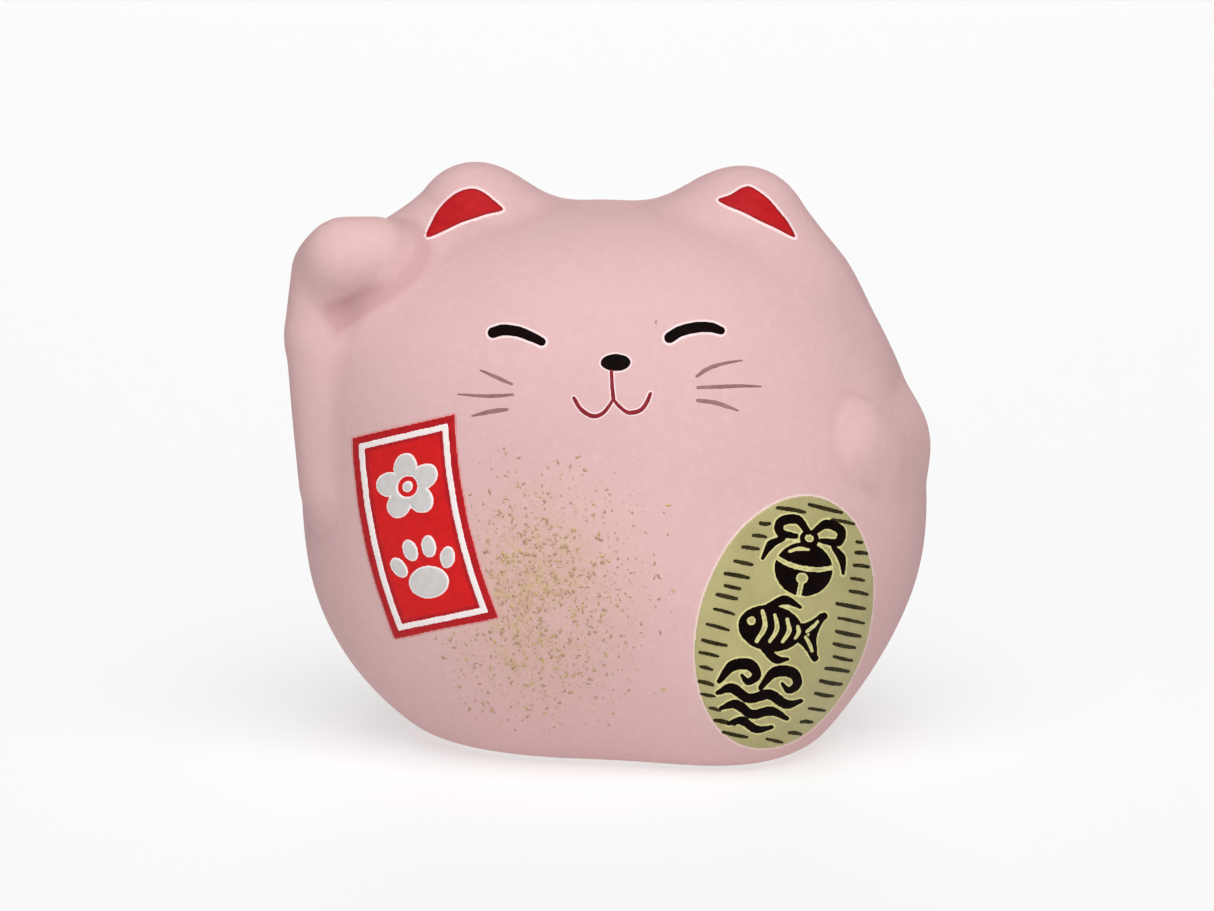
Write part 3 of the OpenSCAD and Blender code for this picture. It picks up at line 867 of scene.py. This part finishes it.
def label_ground(q):
    """The darker red that shows as a border."""
    return label_inset(q, 0, 0.12) + wobble(q, 5, 0.03, 21)


def label_panel(q):
    """The brighter red inside the white line."""
    return label_inset(q, LABEL_MARGIN + LABEL_LINE + 0.22, 0.2) + wobble(q, 1.6, 0.03, 24)


def label_line(q):
    """The white line round the label."""
    outer = label_inset(q, LABEL_MARGIN, 0.15)
    inner = label_inset(q, LABEL_MARGIN + LABEL_LINE, 0.05)
    return np.minimum(outer, -inner) + wobble(q, 1.6, 0.02, 22)


def blossom(q):
    """Five round petals that just meet, and a dot inside a bare ring."""
    p = on_label(q)
    petals = []
    for turn in range(90, 450, 72):
        a = math.radians(turn)
        c = np.array(BLOSSOM_AT) + 0.56 * BLOSSOM_R * np.array((math.cos(a), math.sin(a)))
        petals.append(oval(p, c, 0.44 * BLOSSOM_R, 0.38 * BLOSSOM_R, turn))
    ring, dot = oval(p, BLOSSOM_AT, 1.0, 1.0), oval(p, BLOSSOM_AT, 0.62, 0.62)
    return np.maximum(np.minimum(np.max(petals, axis=0), -ring), dot)


def paw_print(q):
    """A broad pad with four toes over it."""
    p = on_label(q)
    c = np.array(PAW_AT)
    parts = [oval(p, c + (0, -1.1), 2.15, 1.75)]
    for x, y, turn in ((-2.62, 1.0, 22), (-1.0, 2.5, 6), (1.0, 2.5, -6), (2.62, 1.0, -22)):
        parts.append(oval(p, c + (x, y), 0.82, 1.22, turn))
    return np.max(parts, axis=0)


piece(
    "label_red_ground",
    [
        *with_rim(label_ground, *LABEL_BOX, 0.16, 0.2, label_dark, 0.15, red_rim),
        mark(label_panel, *LABEL_BOX, 0.16, (0.045, 0.02), label_red, 0.1),
    ],
    "fortune_label",
)
piece(
    "label_white_line",
    [mark(label_line, *LABEL_BOX, 0.11, SECOND_COAT, white_paint)],
    "label_frame",
)
for name, field, node in (
    ("label_blossom_emblem", blossom, "label_blossom"),
    ("label_paw_emblem", paw_print, "label_paw_print"),
):
    # White outside, and inside it a grey second coat that is painted shade on the white
    piece(
        name,
        [
            mark(lambda q: field(q) - inset + wobble(q, 1.5, 0.02, 25), *LABEL_BOX, 0.1,
                 coat, paint)
            for inset, coat, paint in (
                (0, SECOND_COAT, white_paint), (0.17, THIRD_COAT, white_in_painted_shade),
            )
        ],
        node,
    )

# ---------------- the gold oval

KOBAN_CENTRE = np.array((18.15, 12.8))
KOBAN_HALF = (9.05, 13.45)
KOBAN_TURN = -15.6
KOBAN_BOX = ((8.2, -0.8), (28.2, 26.6))
EMBLEM_TURN = 5.0


def on_koban(q):
    """Distances across and up the oval, from its centre."""
    return turned(q - KOBAN_CENTRE, KOBAN_TURN)


def koban_edge(q):
    """How deep the points q lie inside the gold."""
    return oval(on_koban(q), (0, 0), *KOBAN_HALF) + wobble(q, 6, 0.03, 31)


def emblem(q, centre, size):
    """Coordinates of an emblem, which stands a little more upright than the oval."""
    return turned(on_koban(q) - centre, EMBLEM_TURN) / size


def bell(q):
    """A round bell with a bow over it."""
    size = 0.94
    p = emblem(q, (0.1, 7.15), size)
    parts = [
        oval(p, (0, -1.3), 3.3, 3.0),
        np.minimum(oval(p, (0, 2.1), 1.15, 1.0), -oval(p, (0, 2.15), 0.45, 0.38)),
        stroke(p, ((-0.3, 2.8), (-1.7, 3.9), (-3.4, 3.4), (-3.3, 2.2), (-1.5, 2.1)),
               (0.8, 1.15, 1.2, 1.1, 0.7)),
        stroke(p, ((0.3, 2.8), (1.6, 4.0), (3.3, 3.6), (3.3, 2.3), (1.4, 2.1)),
               (0.8, 1.15, 1.2, 1.1, 0.7)),
        stroke(p, ((-2.9, 1.6), (-4.1, 0.7), (-4.7, -0.9)), (0.7, 1.1, 0.5)),
        stroke(p, ((2.9, 1.6), (4.0, 0.6), (4.5, -1.0)), (0.7, 1.1, 0.5)),
    ]
    gaps = [
        stroke(p, ((-3.4, -0.5), (-1.7, -1.05), (0, -1.2), (1.7, -1.05), (3.4, -0.5)),
               (0.36, 0.42, 0.42, 0.42, 0.36)),
        stroke(p, ((0, -2.3), (0, -4.5)), (0.5, 0.42)),
        oval(p, (0, -2.3), 0.6, 0.55),
        stroke(p, ((-1.9, 0.35), (-1.0, 0.8), (0.1, 0.9)), (0.2, 0.36, 0.2)),
    ]
    return size * np.minimum(np.max(parts, axis=0), -np.max(gaps, axis=0))


def fish(q):
    """A plump fish that swims to the cat's right."""
    size = 0.95
    p = emblem(q, (-0.25, -0.7), size)
    parts = [
        oval(p, (-1.3, 0), 3.6, 2.55),
        stroke(p, ((1.2, 0.1), (2.8, 0.8), (4.3, 2.3)), (1.6, 1.3, 0.9)),
        stroke(p, ((1.2, -0.1), (2.8, -0.8), (4.2, -2.4)), (1.6, 1.3, 0.9)),
        stroke(p, ((4.0, 2.1), (3.5, 0), (4.0, -2.2)), (1.0, 1.0, 1.0)),
        stroke(p, ((-1.9, 2.3), (-0.3, 3.3), (1.5, 2.8)), (0.9, 1.15, 0.5)),
        stroke(p, ((-1.5, -2.3), (-0.1, -3.2), (1.2, -3.0)), (0.9, 1.1, 0.5)),
    ]
    gaps = [
        oval(p, (-3.5, 0.45), 0.42, 0.4),
        stroke(p, ((-2.5, 1.7), (-1.95, 0.1), (-2.5, -1.6)), (0.3, 0.44, 0.3)),
        stroke(p, ((-1.1, 1.5), (-0.6, 0.1), (-1.1, -1.4)), (0.26, 0.4, 0.26)),
        stroke(p, ((0.3, 1.3), (0.75, 0.1), (0.3, -1.2)), (0.26, 0.4, 0.26)),
        stroke(p, ((1.6, 0.7), (1.85, 0.1), (1.6, -0.6)), (0.24, 0.36, 0.24)),
        stroke(p, ((2.7, 0.3), (3.3, 0.95), (3.7, 1.6)), (0.22, 0.34, 0.2)),
        stroke(p, ((2.7, -0.3), (3.3, -1.0), (3.7, -1.7)), (0.22, 0.34, 0.2)),
    ]
    return size * np.minimum(np.max(parts, axis=0), -np.max(gaps, axis=0))


def wave(q):
    """Two curling waves over three lines of ripples."""
    size = 0.94
    p = emblem(q, (-0.25, -7.5), size)
    parts = [
        stroke(p, ((-5.1, 0.5), (-4.0, 2.4), (-2.2, 2.9), (-1.2, 1.9), (-2.0, 1.0),
                   (-2.8, 1.6)), (0.7, 1.35, 1.4, 1.15, 0.9, 0.5)),
        stroke(p, ((-0.5, 0.6), (0.7, 2.5), (2.6, 2.8), (3.5, 1.7), (2.7, 0.8), (1.8, 1.4)),
               (0.7, 1.35, 1.4, 1.15, 0.9, 0.5)),
        stroke(p, ((-5.0, -0.8), (-3.6, 0.0), (-1.5, -0.8), (0.6, 0.0), (2.7, -0.8),
                   (4.3, -0.2)), (0.65, 1.25, 1.2, 1.3, 1.2, 0.6)),
        stroke(p, ((-4.3, -2.4), (-2.8, -1.7), (-0.8, -2.5), (1.2, -1.8), (3.2, -2.4)),
               (0.6, 1.2, 1.15, 1.2, 0.6)),
        stroke(p, ((-3.2, -4.0), (-1.8, -3.4), (0.0, -4.1), (1.7, -3.6)),
               (0.55, 1.1, 1.05, 0.55)),
    ]
    return size * np.max(parts, axis=0)


# Short dashes beside the emblems: both ends of each
DASH_LINES = (
    (-4.1, 11.3, -1.3, 11.6), (-5.4, 9.3, -4.5, 9.5), (-5.8, 7.9, -4.5, 8.1),
    (-6.5, 6.5, -4.9, 6.7), (-6.9, 4.9, -5.1, 5.0), (-7.5, 3.4, -5.1, 3.6),
    (-7.2, 2.2, -5.6, 2.3), (-7.7, 1.1, -5.7, 1.2), (-7.6, -0.4, -5.5, -0.4),
    (-7.9, -2.1, -5.6, -2.1), (-7.9, -3.8, -5.4, -3.7), (-7.8, -5.1, -5.9, -5.0),
    (-7.3, -6.5, -6.1, -6.5), (-7.0, -8.0, -5.6, -8.0), (-6.4, -9.2, -5.1, -9.1),
    (-5.2, -10.4, -4.1, -10.4), (-4.3, -11.5, -2.2, -11.4), (-3.1, -12.5, -0.6, -12.4),
    (-1.0, 12.5, 2.5, 12.6), (1.7, 11.6, 4.1, 11.8), (4.9, 10.1, 5.5, 10.2),
    (5.1, 9.0, 6.3, 9.2), (5.3, 7.7, 6.9, 7.9), (5.4, 6.3, 6.8, 6.4),
    (5.6, 5.0, 7.6, 5.1), (4.6, 3.4, 7.7, 3.6), (5.2, 2.0, 8.1, 2.1),
    (5.4, 0.6, 8.1, 0.7), (5.5, -0.7, 7.9, -0.6), (5.9, -2.0, 8.0, -2.0),
    (5.4, -3.4, 8.0, -3.2), (5.2, -4.8, 7.6, -4.7), (5.1, -6.2, 7.1, -6.1),
    (4.9, -7.9, 6.7, -7.8), (4.5, -9.5, 5.7, -9.3), (3.6, -10.9, 4.9, -10.8),
    (1.5, -12.1, 3.2, -12.1),
)


def dash_lines():
    """Strokes that bend and differ a little, as a hand draws them."""
    rng = np.random.default_rng(41)
    lines = []
    for x0, y0, x1, y1 in DASH_LINES:
        middle = ((x0 + x1) / 2, (y0 + y1) / 2 + rng.uniform(-0.06, 0.06))
        w = rng.uniform(0.46, 0.58)
        lines.append((((x0, y0), middle, (x1, y1)), (0.85 * w, w, w, 0.8 * w)))
    return lines


DASHES = dash_lines()


def dashes(q):
    """How deep the points q lie inside the dashes; each is worked out only near by."""
    p = on_koban(q)
    best = np.full(len(p), -9.0)
    for path, widths in DASHES:
        ends = np.array(path)
        near = (np.abs(p - ends.mean(0)) < np.ptp(ends, axis=0) / 2 + 0.7).all(1)
        best[near] = np.maximum(best[near], stroke(p[near], path, widths))
    return best + wobble(q, 0.8, 0.012, 33)


piece(
    "koban_gold_ground",
    with_rim(koban_edge, *KOBAN_BOX, 0.17, 0.26, olive_gold, 0.18, soft_rim),
    "koban_ground",
)
piece(
    "koban_black_dashes",
    [mark(dashes, *KOBAN_BOX, 0.085, (0.06, 0.02), dash_ink, 0.08)],
    "koban_hatching",
)
for name, field, node in (
    ("koban_bell_emblem", bell, "koban_bell"),
    ("koban_fish_emblem", fish, "koban_fish"),
    ("koban_wave_emblem", wave, "koban_wave"),
):
    # The emblem, on paler gold that shows round it
    piece(
        name,
        [
            mark(lambda q: field(q) + 0.2 + wobble(q, 1.0, 0.03, 34), *KOBAN_BOX, 0.12,
                 (0.055, 0.016), gold_rim),
            mark(lambda q: field(q) + wobble(q, 1.0, 0.02, 35), *KOBAN_BOX, 0.09,
                 SECOND_COAT, ink),
        ],
        node,
    )

# ---------------- gold dust on the belly

# How many flakes of a kind there are, their half size in millimetres, and their tone from
# 0, brown, to 1, yellow gold
FLAKES = (
    (1150, (0.05, 0.10), (0.35, 0.75)),
    (420, (0.10, 0.17), (0.10, 0.65)),
    (120, (0.14, 0.22), (0.0, 0.5)),
    (70, (0.10, 0.20), (0.65, 1.0)),
)
# Spots where the gold lies yellower and closer, and the flakes of each
BRIGHT_SPOTS = ((-10.2, 19.65), (-3.5, 14.0), (-9.4, 8.65), (-7.2, 11.0))
BRIGHT_SPREAD = (0.55, 0.4)
BRIGHT_FLAKES = (16, (0.07, 0.16), (0.75, 1))
# One speck on the forehead: its place, half size and tone
STRAY_SPECK = (np.array((4.76, 43.79)), 0.16, 0.3)
FLAKE_GAP = 0.5  # room between the flakes and the label or the gold oval
# Heights of a flake's under side, of its rim and of its middle
FLAKE_HEIGHTS = (-0.02, 0.018, 0.026)


def scatter(rng):
    """Places, sizes and tones of the flakes, thickest round the middle of the belly."""
    shares = np.array([share for _, _, share in DUST])
    for count, size, tones in FLAKES:
        for _ in range(count):
            middle, spread, _ = DUST[int(rng.choice(len(DUST), p=shares))]
            spot = middle + rng.normal(size=2) * spread
            kept = rng.uniform() > FLAKES_MISSING * missed(spot)
            if kept and (spot > DUST_LOW).all() and (spot < DUST_HIGH).all():
                yield spot, rng.uniform(*size), rng.uniform(*tones)
    count, size, tones = BRIGHT_FLAKES
    for middle in BRIGHT_SPOTS:
        for _ in range(count):
            spot = np.array(middle) + rng.normal(size=2) * BRIGHT_SPREAD
            yield spot, rng.uniform(*size), rng.uniform(*tones)
    yield STRAY_SPECK


def flakes():
    """Closed flat flakes of four to six sides, and the tone of each point."""
    rng = np.random.default_rng(77)
    uv, faces, tones, heights = [], [], [], []
    under, rim, middle = FLAKE_HEIGHTS
    for spot, size, tone in scatter(rng):
        sides = int(rng.integers(4, 7))
        turn, long = rng.uniform(0, 2 * math.pi), rng.uniform(1.0, 1.9)
        if max(label_ground(spot[None])[0], koban_edge(spot[None])[0]) > -FLAKE_GAP:
            continue
        a = turn + 2 * math.pi * (np.arange(sides) + rng.uniform(-0.3, 0.3, sides)) / sides
        ring = np.stack([np.cos(a) * size * long, np.sin(a) * size / math.sqrt(long)], 1)
        c, s = math.cos(turn), math.sin(turn)
        ring = ring @ np.array(((c, s), (-s, c))) + spot
        start = len(uv)
        uv += [*ring, *ring, spot]
        heights += [under] * sides + [rim] * sides + [middle]
        for k in range(sides):
            n = (k + 1) % sides
            faces += [
                (start + k, start + n, start + sides + n, start + sides + k),
                (start + sides + k, start + sides + n, start + 2 * sides),
            ]
        faces.append(tuple(start + k for k in reversed(range(sides))))
        tones += [tone] * (2 * sides + 1)
    spot, out = landing(np.array(uv))
    points = spot + out * np.array(heights)[:, None]
    return (points, faces), tones


dust, tones = flakes()
gold_dust = piece("gold_flake_dust", [(dust, flake_gold)], "gold_dust")
tone = gold_dust.data.attributes.new("tone", "FLOAT", "POINT")
tone.data.foreach_set("value", np.array(tones, np.float32))

# ---------------- the stopper


def arc(cx, cz, r, start, end, steps=5):
    """Points of a rounding in a section, from one angle to another in degrees."""
    return [
        (cx + r * math.cos(math.radians(a)), cz + r * math.sin(math.radians(a)))
        for a in np.linspace(start, end, steps)
    ]


def lathe(section, sides=96):
    """A closed round body from a section that starts and ends on the axis."""
    points, faces = [(0, 0, section[0][1])], []
    rows = section[1:-1]
    for r, z in rows:
        points += [
            (r * math.cos(2 * math.pi * k / sides), r * math.sin(2 * math.pi * k / sides), z)
            for k in range(sides)
        ]
    points.append((0, 0, section[-1][1]))
    for k in range(sides):
        n = (k + 1) % sides
        faces.append((0, 1 + n, 1 + k))
        for j in range(len(rows) - 1):
            a, b = 1 + j * sides, 1 + (j + 1) * sides
            faces.append((a + k, a + n, b + n, b + k))
        last = 1 + (len(rows) - 1) * sides
        faces.append((last + k, last + n, len(points) - 1))
    return np.array(points), faces


def grip(length, width, z_low, z_high, r=0.4, steps=6):
    """The rounded rib on the stopper that fingers pull on."""
    points, faces, around = [], [], []
    end = (length - width) / 2
    for cx, start in ((end, -90), (-end, 90)):
        for a in np.radians(np.linspace(start, start + 180, 13)):
            around.append((cx, math.cos(a), math.sin(a)))
    rings = [(z_high, width / 2)]
    for a in np.radians(np.linspace(0, 90, steps)):
        rings.append((z_low + r - r * math.sin(a), width / 2 - r + r * math.cos(a)))
    n = len(around)
    for z, radius in rings:
        points += [(cx + radius * c, radius * s, z) for cx, c, s in around]
    for j in range(len(rings) - 1):
        for k in range(n):
            m = (k + 1) % n
            faces.append((j * n + k, (j + 1) * n + k, (j + 1) * n + m, j * n + m))
    faces.append(tuple(range(n)))
    faces.append(tuple(reversed(range((len(rings) - 1) * n, len(rings) * n))))
    return np.array(points), faces


CLEARANCE = 0.05
FLANGE_THICKNESS = 1.3
flange_top = RECESS_H - CLEARANCE
flange_low = flange_top - FLANGE_THICKNESS
stem_r = HOLE_R - CLEARANCE
stem_top = plug_high.z / SCALE - SHIFT[2]
rib_low = plug_low.z / SCALE - SHIFT[2]
# Radius and height from the middle below to the middle above: a flange with a raised bead and
# rounded edges, and a stem with a rounded end
section = [
    (0, flange_low),
    (FLANGE_R - 2.2, flange_low),
    *arc(FLANGE_R - 1.6, flange_low, 0.25, 180, 0, 7),
    *arc(FLANGE_R - 0.35, flange_low + 0.35, 0.35, -90, 0),
    *arc(FLANGE_R - 0.3, flange_top - 0.3, 0.3, 0, 90),
    *arc(stem_r + 0.12, flange_top + 0.12, 0.12, 270, 180, 3),
    *arc(stem_r - 0.7, stem_top - 0.7, 0.7, 0, 90, 7),
    (0, stem_top),
]
round_part = lathe(section)
rib = grip(1.2 * RECESS_R, 1.8, rib_low, flange_low + 0.3)
hole_at = np.array((HOLE_X, HOLE_Y, 0))
piece(
    "drain_hole_stopper",
    [((part + hole_at, faces), milky) for part, faces in (round_part, rib)],
    "base_stopper",
    "stopper",
)

# ---------------- floor, light and camera

FLOOR_R = 6.0  # metres
FLOOR_SIDES = 64
FLOOR_GREY = 0.42
FLOOR_GLOW = 0.545  # light of its own, so that the cat's shadow on it stays faint
floor_material, _, floor_shader = new_material("pale_floor", 0.9, specular=0.1)
set_up(
    floor_shader,
    Base_Color=(FLOOR_GREY, FLOOR_GREY, FLOOR_GREY, 1),
    Emission_Color=(1, 1, 1, 1),
    Emission_Strength=FLOOR_GLOW,
)
floor_mesh = bpy.data.meshes.new("floor")
rim = [2 * math.pi * k / FLOOR_SIDES for k in range(FLOOR_SIDES)]
floor_mesh.from_pydata(
    [(FLOOR_R * math.cos(a), FLOOR_R * math.sin(a), body_low.z) for a in rim],
    [],
    [tuple(range(FLOOR_SIDES))],
)
floor_mesh.materials.append(floor_material)
floor = new_object("floor", floor_mesh)

world = bpy.data.worlds.new("studio")
world.use_nodes = True
set_up(world.node_tree.nodes["Background"], Color=(1, 0.995, 0.99, 1), Strength=0.02)
bpy.context.scene.world = world
bpy.context.scene.view_settings.view_transform = "Standard"


def soft_light(name, turn, height, strength, spread):
    """A broad even light.

    It comes from turn degrees to the right of the front, height degrees above the floor, and
    looks spread degrees wide.
    """
    data = bpy.data.lights.new(name, "SUN")
    data.energy = strength
    data.angle = math.radians(spread)
    a, e = math.radians(turn), math.radians(height)
    way = Vector((math.sin(a) * math.cos(e), -math.cos(a) * math.cos(e), math.sin(e)))
    new_object(name, data).rotation_euler = way.to_track_quat("Z", "Y").to_euler()


soft_light("front_light", 0, 30, 0.93, 40)
soft_light("key_light", 0, 60, 2.45, 60)
soft_light("side_light", 40, 40, 0.28, 50)
soft_light("back_light", 180, 2, 1.3, 20)

# A long lens from in front and a little above, square to the plane of the marks
CAMERA_DISTANCE = 0.6  # metres
SENSOR_WIDTH, FOCAL_LENGTH = 36, 165
CLIP_NEAR, CLIP_FAR = 0.05, 50
AIM = (-0.25, 30.15)  # on the plane of the marks, in the drawing's millimetres
aim = place((AIM[0] * np.array((1, 0, 0)) + AIM[1] * UPWARD)[None])[0]
camera_data = bpy.data.cameras.new("camera")
camera_data.sensor_width = SENSOR_WIDTH
camera_data.lens = FOCAL_LENGTH
camera_data.clip_start = CLIP_NEAR
camera_data.clip_end = CLIP_FAR
camera = new_object("camera", camera_data)
camera.location = Vector(aim) + Vector(OUTWARD) * CAMERA_DISTANCE
camera.rotation_euler = (Vector(aim) - camera.location).to_track_quat("-Z", "Y").to_euler()
bpy.context.scene.camera = camera
